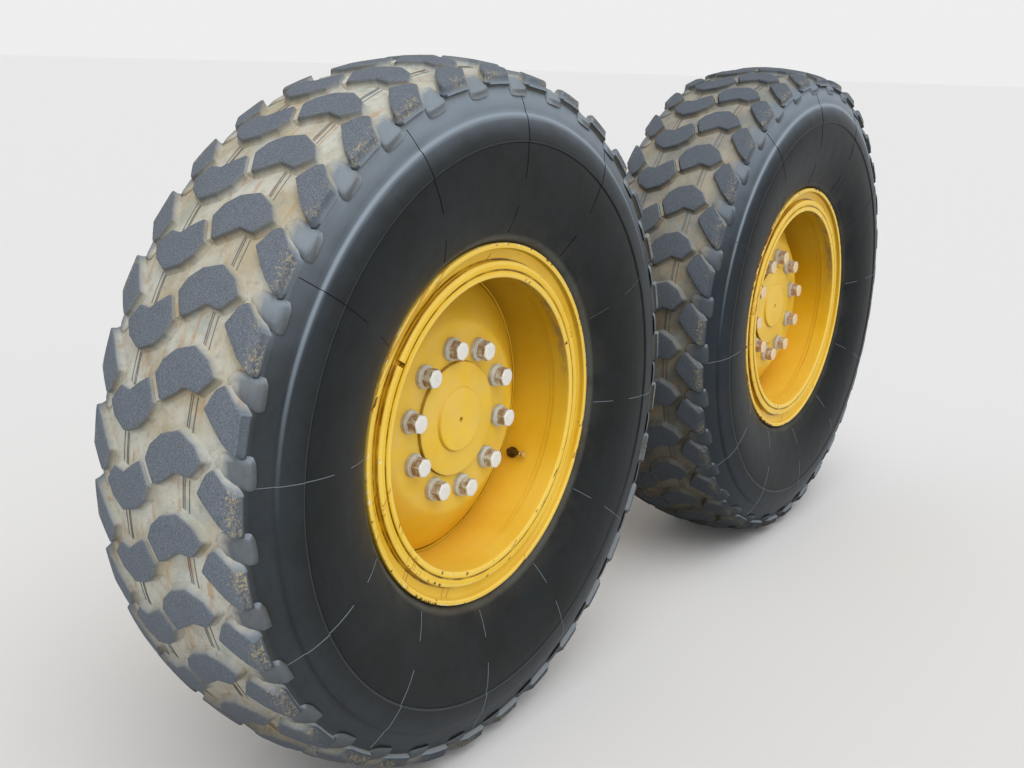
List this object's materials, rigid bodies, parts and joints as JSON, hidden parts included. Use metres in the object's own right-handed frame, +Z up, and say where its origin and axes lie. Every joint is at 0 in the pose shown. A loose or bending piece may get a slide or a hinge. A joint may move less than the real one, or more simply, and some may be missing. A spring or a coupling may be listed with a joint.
{
  "type": "motor grader tandem with two drive wheels",
  "caption": "Left tandem of a motor grader: a chain case that rocks on the axle end and carries two lugged drive wheels in line.",
  "frame": {"origin": "centre of the face that bolts to the end of the rear axle, on the pivot axis", "axes": "+X forwards, +Y outboard along the wheel and pivot axes, +Z up"},
  "size_m": [2.8797, 0.7567, 1.358],
  "materials": {
    "yellow_paint": "gloss paint, dusty",
    "rim_paint": "gloss paint, chipped at the flange",
    "tyre_rubber": "black rubber, dust in the grooves",
    "worn_steel": "zinc, worn bright with rust on the flats",
    "black_pipe": "black coated pipe",
    "valve_brass": "dull brass"
  },
  "bodies": {
    "axle_end": {"pivot_housing": "yellow_paint"},
    "case": {"tandem_case": "yellow_paint", "pivot_ring": "yellow_paint", "inspection_cover": "yellow_paint", "filler_cover": "yellow_paint", "case_plugs": "worn_steel", "front_brake_housing": "yellow_paint", "rear_brake_housing": "yellow_paint", "brake_lines": "black_pipe", "brake_tee": "worn_steel"},
    "front_wheel": {"front_hub": "yellow_paint", "front_disc": "yellow_paint", "front_rim_base": "rim_paint", "front_side_ring": "rim_paint", "front_lock_ring": "rim_paint", "front_tyre": "tyre_rubber", "front_wheel_bolts": "worn_steel", "front_valve": "valve_brass"},
    "rear_wheel": {"rear_hub": "yellow_paint", "rear_disc": "yellow_paint", "rear_rim_base": "rim_paint", "rear_side_ring": "rim_paint", "rear_lock_ring": "rim_paint", "rear_tyre": "tyre_rubber", "rear_wheel_bolts": "worn_steel", "rear_valve": "valve_brass"}
  },
  "joints": [
    {"name": "tandem_pivot", "type": "hinge", "parent": "axle_end", "child": "case", "pos_m": [0, 0.14, 0], "axis": [0, 1, 0], "range_deg": [-15, 25]},
    {"name": "front_wheel_turn", "type": "hinge", "parent": "case", "child": "front_wheel", "pos_m": [0.761, 0.55, 0], "axis": [0, 1, 0], "continuous": true},
    {"name": "rear_wheel_turn", "type": "hinge", "parent": "case", "child": "rear_wheel", "pos_m": [-0.761, 0.55, 0], "axis": [0, 1, 0], "continuous": true}
  ]
}
